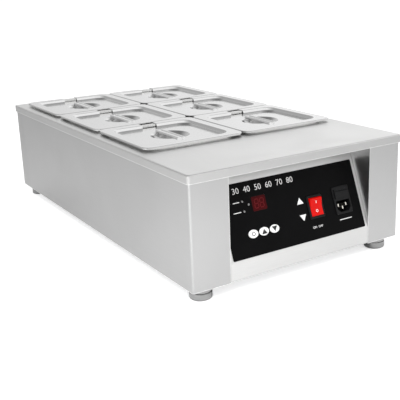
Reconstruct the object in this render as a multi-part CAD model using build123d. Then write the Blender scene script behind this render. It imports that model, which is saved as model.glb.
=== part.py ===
from build123d import *
from math import hypot, radians, tan
import os

os.makedirs("parts", exist_ok=True)

# Chocolate melter: lidded food pans hang in a heated well, with sloped controls under the front table.
# Millimetres. The origin is on the ground under the middle of the housing, +Z is up, the front is -Y.

# Sheet metal and fits
sheet = 1.0
bend = 2.0
fold = 12.0
fit = 0.3
overhang = 2.0
skirt_depth = 12.0
deck_corner = 4.0
deck_edge = 1.8

# Lids
column_names = ("left", "right")
row_names = ("front", "middle", "rear")
lid_width = 164.0
lid_length = 162.0
lid_gap = 2.5
lid_corner = 13.0
lid_rim = 15.0
lid_edge_depth = 2.8
lid_edge_wall = 1.8
lid_edge_round = 1.0
lid_recess = 5.0
recess_corner = 18.0
recess_draft = 18.0
recess_round = 1.2
recess_lip_round = 0.8
notch_width = 25.0
notch_reach = 4.0
dish_radius = 29.5
dish_floor_radius = 21.0
dish_depth = 10.0
dish_round = 3.0
dish_lip_round = 1.2
strap_width = 14.0
strap_thickness = 1.0
strap_lap = 5.0
strap_rib_radius = 1.6
strap_rib_inset = 2.6
strap_corner = 2.0

# Pans
pan_sheet = 1.0
pan_depth = 100.0
pan_rise = 5.0
pan_flange = 6.4
pan_draft = 2.0
pan_floor_round = 9.0
lid_play = 0.6
opening_play = 1.2

# Housing
side_margin = 14.75
rear_margin = 28.0
front_table = 136.0
foot_height = 19.0
column_width = 58.0
sill_height = 26.0
console_lean = 50.0
console_wing = 10.0

# Well
tank_margin = 2.0
tank_corner = 8.0
tank_flange = 8.0
under_space = 7.7
insulation_thickness = 12.0
element_radius = 4.0
element_bend = 20.0
element_lift = 10.0
element_side_gap = 36.0
element_end_gap = 28.0
element_hairpin_width = 80.0
element_terminal_radius = 1.8
element_terminal_length = 10.0
element_tail = 14.0
pan_clearance = 15.0
support_width = 10.0

# Console controls, placed across (u) and up (v) the slope from the middle of its lower edge
label_thickness = 0.5
label_width = 230.0
label_height = 100.0
label_start = 2.0
label_corner = 2.0
display_place = (-56.3, 69.6)
display_width = 22.5
display_height = 19.5
window_proud = 0.3
window_corner = 1.5
moulding_corner = 1.0
module_margin = 1.5
lamp_places = ((-82.0, 76.0), (-82.0, 62.7), (-73.0, 70.6))
lamp_radius = 1.5
button_row = 31.3
button_columns = {"set_button": -76.3, "up_button": -58.9, "down_button": -41.5}
button_width = 15.0
button_height = 11.0
button_proud = 1.2
button_round = 0.5
button_lip = 1.0
button_play = 0.25
button_stem_radius = 2.0
button_stem_length = 5.5
button_travel = 0.8
switch_radius = 1.7
switch_body = 6.0
switch_body_height = 1.2
board_gap = 10.0
board_thickness = 1.6
board_width = 84.0
board_height = 70.0
board_place = (-58.0, 55.0)
post_radius = 3.0
post_inset = 5.0
rocker_place = (34.0, 47.0)
rocker_width = 20.0
rocker_half_length = 12.2
rocker_tilt = 9.0
rocker_crown = 2.8
rocker_depth = 5.0
rocker_play = 0.4
rocker_pin_radius = 1.2
rocker_pin_play = 0.08
switch_wall = 1.2
switch_bezel = 1.6
bezel_height = 2.0
bezel_chamfer = 0.7
switch_pocket_depth = 8.0
switch_depth = 20.0
switch_tab = (4.8, 0.8, 8.0)
switch_tab_pitch = 8.0
switch_corner = 0.5
inlet_place = (83.0, 47.5)
inlet_width = 27.0
inlet_height = 37.0
inlet_lip = 1.5
inlet_lip_height = 1.8
inlet_lip_chamfer = 0.6
inlet_depth = 24.0
socket_width = 24.5
socket_height = 16.5
socket_depth = 16.0
socket_chamfer = 5.0
socket_drop = 8.8
blade_width = 2.0
blade_height = 4.0
blade_spread = 7.0
blade_offset = 2.0
blade_setback = 1.0
blade_tab = 10.0
drawer_rise = 9.5
drawer_face_width = 25.0
drawer_face_height = 13.5
drawer_face_thickness = 1.8
drawer_width = 22.0
drawer_height = 9.0
drawer_depth = 19.0
drawer_grip_radius = 1.0
fuse_radius = 2.6
fuse_length = 20.0
fuse_play = 0.1
fuse_depths = (4.5, 12.5)

# Feet and fasteners
foot_radius = 15.5
foot_body_height = 10.0
foot_round = 3.0
foot_rim_chamfer = 0.6
foot_waist_radius = 13.6
foot_waist_height = 1.2
foot_drum_radius = 14.9
foot_neck_radius = 7.0
foot_inset_x = 24.0
foot_inset_y = 22.0
stud_radius = 4.0
stud_rise = 7.2
nut_radius = 7.5
nut_height = 6.0
thread_play = 0.05
screw_radius = 1.9
screw_head_radius = 3.6
screw_head_height = 1.8
screw_length = 6.0
screw_end_gap = 60.0

# Parts inside the front bay
probe_radius = 3.0
probe_reach = 60.0
probe_place = 60.0
gland_radius = 7.0
gland_length = 12.0
cutout_radius = 8.0
cutout_depth = 9.0
cutout_ear = 26.0
cutout_ear_height = 10.0
cutout_ear_thickness = 1.5
relay_size = (58.0, 45.0, 24.0)
relay_end_gap = 83.0
relay_corner = 2.0
block_size = (60.0, 18.0, 16.0)
block_end_gap = 133.0
block_poles = 5
bay_inset = 70.0
earth_radius = 2.5
earth_length = 16.0
earth_end_gap = 68.0
wire_radius = 1.2
wire_bend = 5.0
wire_lead = 8.0
wire_spread = 3.0

# Vents
vent_length = 40.0
vent_width = 5.0
vent_pitch = 12.0
vent_rows = 4

# Heights of the main levels
housing_bottom = foot_height - sheet
base_top = foot_height + sheet
tank_bottom = base_top + under_space + insulation_thickness + fit
tank_floor = tank_bottom + sheet
element_z = tank_floor + element_lift + element_radius
pan_bottom = element_z + element_radius + pan_clearance
deck_top = pan_bottom + pan_depth
deck_underside = deck_top - sheet
skirt_bottom = deck_top - skirt_depth
flange_top = deck_top + pan_rise
lid_top = flange_top + sheet
panel_top = lid_top - lid_recess
panel_bottom = panel_top - sheet
sill_top = housing_bottom + sill_height

# Plan sizes of the housing
pitch_x = lid_width + lid_gap
pitch_y = lid_length + lid_gap
overall_width = len(column_names) * pitch_x - lid_gap + 2 * side_margin
overall_length = len(row_names) * pitch_y - lid_gap + rear_margin + front_table
body_side = overall_width / 2 - overhang
body_rear = overall_length / 2 - overhang
body_front = -body_rear
recess_side = body_side - column_width

# Plan sizes of a pan and of the deck opening that it hangs in
recess_width = lid_width - 2 * lid_rim
recess_length = lid_length - 2 * lid_rim
lid_wall = sheet + lid_play
pan_width = recess_width + 2 * (lid_wall + pan_sheet)
pan_length = recess_length + 2 * (lid_wall + pan_sheet)
pan_corner = recess_corner + lid_wall + pan_sheet
opening_width = pan_width + 2 * opening_play
opening_length = pan_length + 2 * opening_play
opening_corner = pan_corner + opening_play


def pan_column(index):
    """Middle of a column of pans across the housing."""
    return (index - (len(column_names) - 1) / 2) * pitch_x


def pan_row(index):
    """Middle of a row of pans along the housing."""
    return -overall_length / 2 + front_table + lid_length / 2 + index * pitch_y


pan_places = {}
for row, row_name in enumerate(row_names):
    for column, column_name in enumerate(column_names):
        pan_places[f"{row_name}_{column_name}"] = (pan_column(column), pan_row(row))

# Plan sizes of the well tank
tank_side = pan_column(len(column_names) - 1) + opening_width / 2 + tank_margin + sheet
tank_front = pan_row(0) - opening_length / 2 - tank_margin - sheet
tank_rear = pan_row(len(row_names) - 1) + opening_length / 2 + tank_margin + sheet
tank_middle = (tank_front + tank_rear) / 2
bay_middle = body_front + bay_inset
relay_x = relay_end_gap - body_side
block_x = body_side - block_end_gap
earth_x = body_side - earth_end_gap
block_pitch = block_size[0] / block_poles

# The sloped face of the console: its foot on the sill, its direction and its own axes
slope_rise = deck_underside - sill_top
slope_length = hypot(console_lean, slope_rise)
slope_top = body_front + console_lean
slope_plane = Plane(
    origin=(0, body_front, sill_top),
    x_dir=(1, 0, 0),
    z_dir=(0, -slope_rise / slope_length, console_lean / slope_length),
)
label_top = label_thickness
board_top = -sheet - board_gap
board_bottom = board_top - board_thickness


def prism(outline, bottom, top):
    """Solid over a flat outline, between two levels."""
    return extrude(Pos(0, 0, bottom) * outline, amount=top - bottom)


def slab(width, length, corner, bottom, top, place=(0, 0)):
    """Upright solid with rounded corners, round a place in plan."""
    return Pos(place[0], place[1], 0) * prism(RectangleRounded(width, length, corner), bottom, top)


def folded(points, side):
    """Outline of a folded sheet whose outer face follows the points, with round bends."""
    outer_face = FilletPolyline(*points, radius=bend + sheet)
    return make_face(offset(outer_face, amount=sheet, side=side))


def on_slope(shape, place=(0, 0)):
    """Puts a shape made flat, with its outer side up, on the sloped face."""
    return slope_plane.location * (Pos(place[0], place[1], 0) * shape)


def slope_point(u, v, height):
    """Place in space of a point across, up and above the sloped face."""
    return (slope_plane.location * Location((u, v, height))).position


def spread(shape, places):
    """The same shape at each place in plan."""
    return [Pos(x, y, 0) * shape for x, y in places]


# Places that several pieces share
foot_x = body_side - foot_inset_x
foot_y = body_rear - foot_inset_y
foot_places = {
    "foot_front_left": (-foot_x, -foot_y),
    "foot_front_right": (foot_x, -foot_y),
    "foot_rear_left": (-foot_x, foot_y),
    "foot_rear_right": (foot_x, foot_y),
}
screw_x = body_side - fold / 2
screw_y = body_rear - screw_end_gap
screw_places = [(x, y) for x in (-screw_x, screw_x) for y in (-screw_y, 0, screw_y)]
element_x = tank_side - sheet - element_side_gap
element_rear = tank_rear - sheet - element_end_gap
element_front = tank_front + sheet + element_end_gap
hairpin_x = element_hairpin_width / 2
element_runs = (-element_x, -hairpin_x, hairpin_x, element_x)
probe_z = (element_z + element_radius + pan_bottom) / 2

# Shared shapes of the controls
rocker_corner_height = rocker_crown + rocker_half_length * tan(radians(rocker_tilt))
rocker_corner_radius = hypot(rocker_half_length, rocker_corner_height)
pocket_width = rocker_width + 2 * rocker_play
pocket_length = 2 * (rocker_corner_radius + rocker_play)
switch_width = pocket_width + 2 * switch_wall
switch_length = pocket_length + 2 * switch_wall
blade_end = -inlet_depth - blade_tab
blade_places = (
    (-blade_spread, blade_offset - socket_drop),
    (0, -blade_offset - socket_drop),
    (blade_spread, blade_offset - socket_drop),
)


def make_top_deck():
    """Cover with a downturned skirt and one punched opening for each pan."""
    outer = slab(overall_width, overall_length, deck_corner, skirt_bottom, deck_top)
    outer = fillet(outer.faces().sort_by(Axis.Z)[-1].edges(), deck_edge)
    inner_width = overall_width - 2 * sheet
    inner_length = overall_length - 2 * sheet
    inner = slab(inner_width, inner_length, deck_corner - sheet, skirt_bottom, deck_underside)
    inner = fillet(inner.faces().sort_by(Axis.Z)[-1].edges(), deck_edge - sheet)
    opening = slab(opening_width, opening_length, opening_corner, skirt_bottom, deck_top)
    return outer - inner - spread(opening, pan_places.values())


def make_left_panel():
    """Side wall folded round the front corner into the column, with the recess cheek."""
    corners = [
        (-body_side + fold, body_rear),
        (-body_side, body_rear),
        (-body_side, body_front),
        (-recess_side, body_front),
    ]
    wall = folded(corners, Side.LEFT)
    panel = prism(wall, housing_bottom, deck_underside)
    # The cheek stops just above the sloped face.
    cheek_foot = sill_top + fit * slope_length / console_lean
    cheek_back = slope_top - fit * slope_length / slope_rise
    cheek = Polyline(
        (body_front, cheek_foot), (body_front, deck_underside), (cheek_back, deck_underside), close=True
    )
    panel += Pos(-recess_side, 0, 0) * extrude(Plane.YZ * make_face(cheek), amount=-sheet)
    # Inward flanges carry the base plate and the deck.
    rail_front = body_front + bend
    rail_rear = body_rear - sheet - fold - fit
    rail = Pos(-body_side + fold / 2, (rail_front + rail_rear) / 2) * Rectangle(fold, rail_rear - rail_front)
    panel += prism(rail, housing_bottom, housing_bottom + sheet)
    panel += prism(rail, deck_underside - sheet, deck_underside)
    lip_middle = (-(body_side - bend + recess_side) / 2, body_front + fold / 2)
    lip = Pos(*lip_middle) * Rectangle(body_side - bend - recess_side, fold)
    panel += prism(lip, housing_bottom, housing_bottom + sheet)
    holes = Cylinder(screw_radius + fit, 4 * sheet)
    return panel - spread(Pos(0, 0, housing_bottom) * holes, screw_places)


def make_rear_panel():
    """Back cover behind the side walls' folds, flanged at its top and foot, with vents."""
    face = body_rear - sheet
    corners = [
        (face - fold, housing_bottom),
        (face, housing_bottom),
        (face, deck_underside),
        (face - fold, deck_underside),
    ]
    half_width = body_side - sheet - bend - fit
    panel = extrude(Plane.YZ * folded(corners, Side.LEFT), amount=half_width, both=True)
    slot = extrude(Plane.XZ * SlotOverall(vent_length, vent_width), amount=2 * sheet, both=True)
    vents_middle = (tank_bottom + housing_bottom) / 2 + vent_pitch
    for place in GridLocations(body_side, vent_pitch, 2, 2):
        x, row_offset, _ = place.position
        panel -= Pos(x, face, vents_middle + row_offset) * slot
    return panel


def control_cuts(margin):
    """Cutters for every control, made flat, with a margin round each."""
    cuts = []
    for place, width, height, corner in (
        (display_place, display_width, display_height, window_corner),
        (rocker_place, switch_width, switch_length, moulding_corner),
        (inlet_place, inlet_width, inlet_height, moulding_corner),
    ):
        cuts.append(slab(width + 2 * margin, height + 2 * margin, corner, -2 * sheet, sheet, place))
    cuts += [Pos(*place, 0) * Cylinder(lamp_radius + margin, 4 * sheet) for place in lamp_places]
    for column in button_columns.values():
        cuts.append(Pos(column, button_row, 0) * prism(button_outline(button_play), -2 * sheet, sheet))
    return cuts


def make_front_console():
    """Low sill and sloped panel in one fold, cut out for the controls."""
    profile = folded(
        [
            (body_front + fold, housing_bottom),
            (body_front, housing_bottom),
            (body_front, sill_top),
            (slope_top, deck_underside),
            (slope_top + fold, deck_underside),
        ],
        Side.RIGHT,
    )
    console = extrude(Plane.YZ * profile, amount=recess_side + console_wing, both=True)
    # The sill stays between the columns, and the slope reaches behind the cheeks.
    beside_sill = Pos(0, body_front, sill_top) * Box(
        2 * overall_width, 2 * (sheet + fit), 4 * skirt_depth + 2 * sill_height
    )
    beside_bend = Box(2 * overall_width, 2 * (fold + fit), 2 * (sheet + bend))
    beside_sill += Pos(0, body_front, housing_bottom) * beside_bend
    beside_sill -= Box(2 * (recess_side - fit), 2 * overall_length, 4 * deck_top)
    console -= beside_sill
    return console - [on_slope(cut) for cut in control_cuts(fit)]


def button_outline(margin):
    """Oval of a button, grown by a margin."""
    return Ellipse(button_width / 2 + margin, button_height / 2 + margin)


def make_control_label():
    """Thin label over the slope, cut out round each control."""
    label = slab(label_width, label_height, label_corner, 0, label_top, (0, label_start + label_height / 2))
    return on_slope(label - control_cuts(fit / 2))


def make_base_plate():
    """Floor of the housing on the flanges, with vents and holes for the feet and screws."""
    side = body_side - sheet - fit
    front = body_front + sheet + bend + fit
    rear = body_rear - 2 * sheet - bend - fit
    plate = slab(2 * side, rear - front, bend, foot_height, base_top, (0, (front + rear) / 2))
    plate -= spread(Pos(0, 0, foot_height) * Cylinder(stud_radius + fit, 4 * sheet), foot_places.values())
    plate -= spread(Pos(0, 0, foot_height) * Cylinder(screw_radius + fit, 4 * sheet), screw_places)
    plate -= Pos(earth_x, bay_middle, foot_height) * Cylinder(earth_radius + fit, 4 * sheet)
    vent = Pos(0, 0, foot_height) * prism(SlotOverall(vent_length, vent_width), -sheet, 2 * sheet)
    vents_length = (vent_rows - 1) * vent_pitch
    for place in GridLocations(2 * hairpin_x, vent_pitch, 2, vent_rows):
        x, y, _ = place.position
        plate -= Pos(x, tank_front + vents_length / 2 + y + fold, 0) * vent
    return plate


def make_well_tank():
    """Open tank under the deck, with a flange round its mouth."""
    width = 2 * tank_side
    length = tank_rear - tank_front
    middle = (0, tank_middle)
    flange_width = 2 * (body_side - fold - fit)
    tank = slab(width, length, tank_corner, tank_bottom, deck_underside, middle)
    tank += slab(
        flange_width, length + 2 * tank_flange, tank_corner, deck_underside - sheet, deck_underside, middle
    )
    tank -= slab(width - 2 * sheet, length - 2 * sheet, tank_corner - sheet, tank_floor, deck_top, middle)
    for x in (element_runs[0], element_runs[-1]):
        tank -= Pos(x, tank_front, element_z) * Rot(90, 0, 0) * Cylinder(element_radius + fit, 4 * sheet)
    probe_hole = Cylinder(probe_radius + fit, 4 * sheet)
    return tank - Pos(probe_place, tank_front, probe_z) * Rot(90, 0, 0) * probe_hole


def make_insulation():
    """Mat under the tank and up its sides and back; the front stays open for the terminals."""
    width = 2 * (tank_side + fit)
    rear = tank_rear + fit
    outer_rear = rear + insulation_thickness
    mat_top = deck_underside - sheet - fit
    outer_width = width + 2 * insulation_thickness
    mat = Pos(0, (tank_front + outer_rear) / 2) * Rectangle(outer_width, outer_rear - tank_front)
    wrap = prism(mat, tank_bottom - fit - insulation_thickness, mat_top)
    hollow_front = tank_front - insulation_thickness
    hollow = Pos(0, (hollow_front + rear) / 2) * Rectangle(width, rear - hollow_front)
    return wrap - prism(hollow, tank_bottom - fit, deck_top)


def make_heating_element():
    """Tubular element under the pans, in through the tank's front wall and out again."""
    start = tank_front - element_tail
    path = FilletPolyline(
        (-element_x, start, element_z),
        (-element_x, element_rear, element_z),
        (-hairpin_x, element_rear, element_z),
        (-hairpin_x, element_front, element_z),
        (hairpin_x, element_front, element_z),
        (hairpin_x, element_rear, element_z),
        (element_x, element_rear, element_z),
        (element_x, start, element_z),
        radius=element_bend,
    )
    tube = sweep(Plane(origin=path @ 0, z_dir=path % 0) * Circle(element_radius), path=path)
    terminal = Rot(90, 0, 0) * Cylinder(element_terminal_radius, 2 * element_terminal_length)
    for x in (-element_x, element_x):
        tube += Pos(x, start, element_z) * terminal
    return tube


def make_element_supports():
    """Folded strips across the tank floor, notched for the element's runs."""
    half_span = element_x + element_bend
    foot = Pos(0, support_width / 2) * Rectangle(2 * half_span, support_width)
    strip = prism(foot, tank_floor, tank_floor + sheet)
    web = Pos(0, sheet / 2) * Rectangle(2 * half_span, sheet)
    strip += prism(web, tank_floor, element_z)
    for x in element_runs:
        strip -= Pos(x, 0, element_z) * Rot(90, 0, 0) * Cylinder(element_radius + fit, 4 * sheet)
    return spread(strip, [(0, pan_row(index)) for index in range(len(row_names))])


def make_temperature_probe():
    """Rod through the tank's front wall, held by a gland."""
    rod = Pos(probe_place, tank_front + sheet, probe_z) * Rot(90, 0, 0) * Cylinder(
        probe_radius, probe_reach + gland_length
    )
    gland = extrude(Plane.XZ * RegularPolygon(gland_radius, 6), amount=gland_length / 2)
    return rod + Pos(probe_place, tank_front, probe_z) * gland


def make_safety_cutout():
    """Disc thermostat with ears, flat on the tank's front wall."""
    disc = extrude(Plane.XZ * Circle(cutout_radius), amount=cutout_depth)
    ears = extrude(Plane.XZ * SlotOverall(cutout_ear, cutout_ear_height), amount=cutout_ear_thickness)
    tabs = Box(cutout_radius, 2 * cutout_depth, sheet, align=(Align.CENTER, Align.MAX, Align.CENTER))
    return Pos(0, tank_front, probe_z) * (disc + ears + tabs)


def make_pan():
    """Drawn pan with tapered walls, a rounded floor and a flange turned down onto the deck."""
    depth = flange_top - pan_bottom
    mouth = Pos(0, 0, flange_top) * RectangleRounded(pan_width, pan_length, pan_corner)
    outer = extrude(mouth, amount=depth, dir=(0, 0, -1), taper=pan_draft)
    outer = fillet(outer.faces().sort_by(Axis.Z)[0].edges(), pan_floor_round)
    flange_size = 2 * pan_flange
    outer += slab(
        pan_width + flange_size, pan_length + flange_size, pan_corner + pan_flange, deck_top, flange_top
    )
    under_flange = flange_size - 2 * pan_sheet
    rim_gap = slab(
        pan_width + under_flange,
        pan_length + under_flange,
        pan_corner + pan_flange - pan_sheet,
        deck_top,
        flange_top - pan_sheet,
    )
    rim_gap -= slab(pan_width, pan_length, pan_corner, deck_top, flange_top)
    inner_mouth = Pos(0, 0, flange_top) * RectangleRounded(
        pan_width - 2 * pan_sheet, pan_length - 2 * pan_sheet, pan_corner - pan_sheet
    )
    inner = extrude(inner_mouth, amount=depth - pan_sheet, dir=(0, 0, -1), taper=pan_draft)
    inner = fillet(inner.faces().sort_by(Axis.Z)[0].edges(), pan_floor_round - pan_sheet)
    return outer - rim_gap - inner


def recess_plug(margin, depth):
    """Drafted plug of the sunken panel's outline, grown by a margin, down from the lid's top."""
    mouth = RectangleRounded(recess_width + 2 * margin, recess_length + 2 * margin, recess_corner + margin)
    plug = extrude(Pos(0, 0, lid_top) * mouth, amount=depth, dir=(0, 0, -1), taper=recess_draft)
    return fillet(plug.faces().sort_by(Axis.Z)[0].edges(), recess_round + margin)


def dish_plug(margin):
    """Cone of the finger dish, grown by a margin, with a rounded floor."""
    cone = Cone(
        dish_floor_radius + margin,
        dish_radius + margin,
        dish_depth,
        align=(Align.CENTER, Align.CENTER, Align.MIN),
    )
    cone = fillet(cone.edges().sort_by(Axis.Z)[0], dish_round + margin)
    return Pos(0, 0, panel_top - dish_depth - margin) * cone


def make_lid():
    """Pressed lid with a turned-down edge, a sunken panel, a spoon notch and a finger dish."""
    lid = slab(lid_width, lid_length, lid_corner, lid_top - lid_edge_depth, lid_top)
    lid = fillet(lid.faces().sort_by(Axis.Z)[-1].edges(), lid_edge_round)
    lid -= slab(
        lid_width - 2 * lid_edge_wall,
        lid_length - 2 * lid_edge_wall,
        lid_corner - lid_edge_wall,
        lid_top - lid_edge_depth,
        lid_top - sheet,
    )
    lid += recess_plug(sheet, lid_recess + sheet)
    lid -= recess_plug(0, lid_recess)
    lid = fillet(lid.faces().sort_by(Axis.Z)[-1].inner_wires()[0].edges(), recess_lip_round)
    lid += dish_plug(sheet)
    lid -= dish_plug(0)
    lip = lid.edges().filter_by(GeomType.CIRCLE).filter_by(lambda edge: abs(edge.radius - dish_radius) < fit)
    lid = fillet(lip.group_by(Axis.Z)[-1], dish_lip_round)
    notch_start = recess_length / 2 - notch_reach
    notch_end = lid_length / 2 + lid_edge_wall
    notch = Pos(0, (notch_start + notch_end) / 2) * Rectangle(notch_width, notch_end - notch_start)
    return lid - prism(notch, panel_bottom - sheet, lid_top + sheet)


def make_strap():
    """Ribbed strap across the finger dish, resting on the panel at both ends."""
    length = 2 * (dish_radius + strap_lap)
    height = strap_thickness + strap_rib_radius
    rib_x = strap_width / 2 - strap_rib_inset
    section = Pos(0, strap_thickness / 2) * Rectangle(strap_width, strap_thickness)
    section += [Pos(x, strap_thickness) * Circle(strap_rib_radius) for x in (-rib_x, rib_x)]
    section &= Pos(0, height / 2) * Rectangle(strap_width, height)
    strap = Pos(0, 0, panel_top) * extrude(Plane.XZ * section, amount=length / 2, both=True)
    return strap & slab(strap_width, length, strap_corner, panel_top, panel_top + height)


def make_display_window():
    """Tinted window through the slope and the label."""
    window = slab(display_width, display_height, window_corner, -sheet, label_top + window_proud)
    return on_slope(window, display_place)


def make_display_module():
    """Digit block on the board, just behind the window."""
    width = display_width + 2 * module_margin
    height = display_height + 2 * module_margin
    return on_slope(slab(width, height, sheet, board_top, -sheet), display_place)


def make_indicator_lamps():
    """Domed lamps that stand on the board and look through the label."""
    body = prism(Circle(lamp_radius), board_top, label_top)
    lamp = body + Pos(0, 0, label_top) * Sphere(lamp_radius)
    return [on_slope(lamp, place) for place in lamp_places]


def make_control_board():
    """Circuit board behind the slope."""
    board = slab(board_width, board_height, 2 * sheet, board_bottom, board_top, board_place)
    return on_slope(board)


def make_board_posts():
    """Pillars from the back of the slope to the board's corners."""
    span_x = board_width - 2 * post_inset
    span_y = board_height - 2 * post_inset
    post = prism(Circle(post_radius), board_top, -sheet)
    corners = [(x, y) for x in (-span_x / 2, span_x / 2) for y in (-span_y / 2, span_y / 2)]
    return [on_slope(post, (board_place[0] + x, board_place[1] + y)) for x, y in corners]


def make_button():
    """Oval cap with a lip behind the slope and a stem towards its switch."""
    lip_top = -sheet - fit
    lip_bottom = lip_top - button_lip
    cap = prism(button_outline(0), lip_bottom, label_top + button_proud)
    cap = fillet(cap.faces().sort_by(Axis.Z)[-1].edges(), button_round)
    cap += prism(button_outline(button_lip), lip_bottom, lip_top)
    return cap + prism(Circle(button_stem_radius), lip_bottom - button_stem_length, lip_bottom)


def make_button_switches():
    """Small switches on the board, each below a button's stem."""
    stem_end = -sheet - fit - button_lip - button_stem_length
    switch = slab(switch_body, switch_body, switch_corner, board_top, board_top + switch_body_height)
    switch += prism(Circle(switch_radius), board_top, stem_end - button_travel - fit)
    return [on_slope(switch, (column, button_row)) for column in button_columns.values()]


def make_rocker_frame():
    """Moulded switch body with a bezel, an open pocket and holes for the rocker's pins."""
    bezel_top = label_top + bezel_height
    frame = slab(switch_width, switch_length, moulding_corner, -switch_depth, bezel_top)
    bezel = slab(
        switch_width + 2 * switch_bezel,
        switch_length + 2 * switch_bezel,
        moulding_corner + switch_bezel,
        label_top,
        bezel_top,
    )
    frame += chamfer(bezel.faces().sort_by(Axis.Z)[-1].edges(), bezel_chamfer)
    frame -= slab(pocket_width, pocket_length, switch_corner, -switch_pocket_depth, 2 * bezel_top)
    frame -= Rot(0, 90, 0) * Cylinder(rocker_pin_radius + rocker_pin_play, switch_width + switch_wall)
    tab = Pos(0, 0, -switch_depth) * Box(*switch_tab, align=(Align.CENTER, Align.CENTER, Align.MAX))
    tabs = [Pos(0, y, 0) * tab for y in (-switch_tab_pitch, 0, switch_tab_pitch)]
    return on_slope(frame + tabs, rocker_place)


def make_rocker():
    """Two-faced rocker with pins at its sides, resting with its upper end proud."""
    ends = rocker_crown + 2 * rocker_half_length * tan(radians(rocker_tilt))
    wedge = Polyline(
        (-2 * rocker_half_length, -rocker_depth),
        (2 * rocker_half_length, -rocker_depth),
        (2 * rocker_half_length, ends),
        (0, rocker_crown),
        (-2 * rocker_half_length, ends),
        close=True,
    )
    profile = make_face(wedge) & Circle(rocker_corner_radius)
    rocker = extrude(Plane.YZ * profile, amount=rocker_width / 2, both=True)
    pin_length = rocker_width + 2 * (rocker_play + switch_wall)
    rocker += Rot(0, 90, 0) * Cylinder(rocker_pin_radius, pin_length)
    return on_slope(Rot(rocker_tilt, 0, 0) * rocker, rocker_place)


def make_inlet_body():
    """Moulded inlet with a lip, a keyed socket and a slot for the fuse drawer."""
    lip_top = label_top + inlet_lip_height
    body = slab(inlet_width, inlet_height, moulding_corner, -inlet_depth, lip_top)
    lip_width = inlet_width + 2 * inlet_lip
    lip_height = inlet_height + 2 * inlet_lip
    lip = slab(lip_width, lip_height, moulding_corner + inlet_lip, label_top, lip_top)
    body += chamfer(lip.faces().sort_by(Axis.Z)[-1].edges(), inlet_lip_chamfer)
    outline = Rectangle(socket_width, socket_height)
    outline = chamfer(outline.vertices().group_by(Axis.Y)[0], socket_chamfer)
    body -= Pos(0, -socket_drop, 0) * prism(outline, -socket_depth, 2 * lip_top)
    slot_bottom = lip_top - drawer_depth - fit
    slot = slab(drawer_width + 2 * fit, drawer_height + 2 * fit, moulding_corner, slot_bottom, 2 * lip_top)
    body -= Pos(0, drawer_rise, 0) * slot
    blade = Rectangle(blade_width, blade_height)
    for x, y in blade_places:
        body -= Pos(x, y, 0) * prism(blade, -2 * inlet_depth, lip_top)
    return on_slope(body, inlet_place)


def make_inlet_pins():
    """Contact blades through the socket's floor."""
    blade = prism(Rectangle(blade_width, blade_height), blade_end, -blade_setback)
    return [on_slope(Pos(x, y, 0) * blade, inlet_place) for x, y in blade_places]


def make_fuse_drawer():
    """Drawer with a grip edge and a trough for each fuse."""
    lip_top = label_top + inlet_lip_height
    face_top = lip_top + drawer_face_thickness
    face = slab(drawer_face_width, drawer_face_height, moulding_corner, lip_top, face_top)
    grip = Pos(0, drawer_face_height / 2 - 3 * drawer_grip_radius, face_top) * (
        Rot(0, 90, 0) * Cylinder(drawer_grip_radius, 2 * drawer_face_width)
    )
    drawer = face - grip
    drawer += slab(drawer_width, drawer_height, moulding_corner, lip_top - drawer_depth, lip_top)
    for depth in fuse_depths:
        trough = Rot(0, 90, 0) * Cylinder(fuse_radius + fuse_play, fuse_length + 2 * fuse_play)
        trough += Pos(0, drawer_height / 2, 0) * Box(
            fuse_length + 2 * fuse_play, drawer_height, 2 * (fuse_radius + fuse_play)
        )
        drawer -= Pos(0, 0, lip_top - depth) * trough
    return on_slope(Pos(0, drawer_rise, 0) * drawer, inlet_place)


def make_fuses():
    """Working fuse and spare, in the drawer's troughs."""
    lip_top = label_top + inlet_lip_height
    fuse = Rot(0, 90, 0) * Cylinder(fuse_radius, fuse_length)
    return [on_slope(Pos(0, drawer_rise, lip_top - depth) * fuse, inlet_place) for depth in fuse_depths]


def make_foot():
    """Turned foot: heel, waist groove, drum under the housing and a stud through the base plate."""
    waist_top = foot_body_height + foot_waist_height
    drum_top = housing_bottom - fit
    profile = Polyline(
        (0, 0),
        (foot_radius, 0),
        (foot_radius, foot_body_height - foot_rim_chamfer),
        (foot_radius - foot_rim_chamfer, foot_body_height),
        (foot_waist_radius, foot_body_height),
        (foot_waist_radius, waist_top),
        (foot_drum_radius, waist_top),
        (foot_drum_radius, drum_top),
        (foot_neck_radius, drum_top),
        (foot_neck_radius, foot_height),
        (stud_radius, foot_height),
        (stud_radius, foot_height + stud_rise),
        (0, foot_height + stud_rise),
        close=True,
    )
    face = make_face(profile)
    heel = face.vertices().group_by(Axis.Y)[0].sort_by(Axis.X)[-1]
    face = fillet(heel, foot_round)
    return revolve(Plane.XZ * face, axis=Axis.Z)


def make_foot_nuts():
    """Nuts that hold the feet, on the base plate."""
    nut = prism(RegularPolygon(nut_radius, 6), base_top, base_top + nut_height)
    nut -= Pos(0, 0, base_top) * Cylinder(stud_radius + thread_play, 4 * nut_height)
    return spread(nut, foot_places.values())


def make_base_screws():
    """Round-headed screws up through the flanges and the base plate."""
    head = Pos(0, 0, housing_bottom) * Cylinder(
        screw_head_radius, screw_head_height, align=(Align.CENTER, Align.CENTER, Align.MAX)
    )
    head = chamfer(head.faces().sort_by(Axis.Z)[0].edges(), screw_head_height / 2)
    screw = head + prism(Circle(screw_radius), housing_bottom, housing_bottom + screw_length)
    return spread(screw, screw_places)


def make_power_relay():
    """Relay block on the base plate, with a raised cover."""
    width, length, height = relay_size
    relay = slab(width, length, relay_corner, base_top, base_top + height / 2)
    relay += slab(width - 2 * fold, length, relay_corner, base_top, base_top + height)
    return Pos(relay_x, bay_middle, 0) * relay


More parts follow.
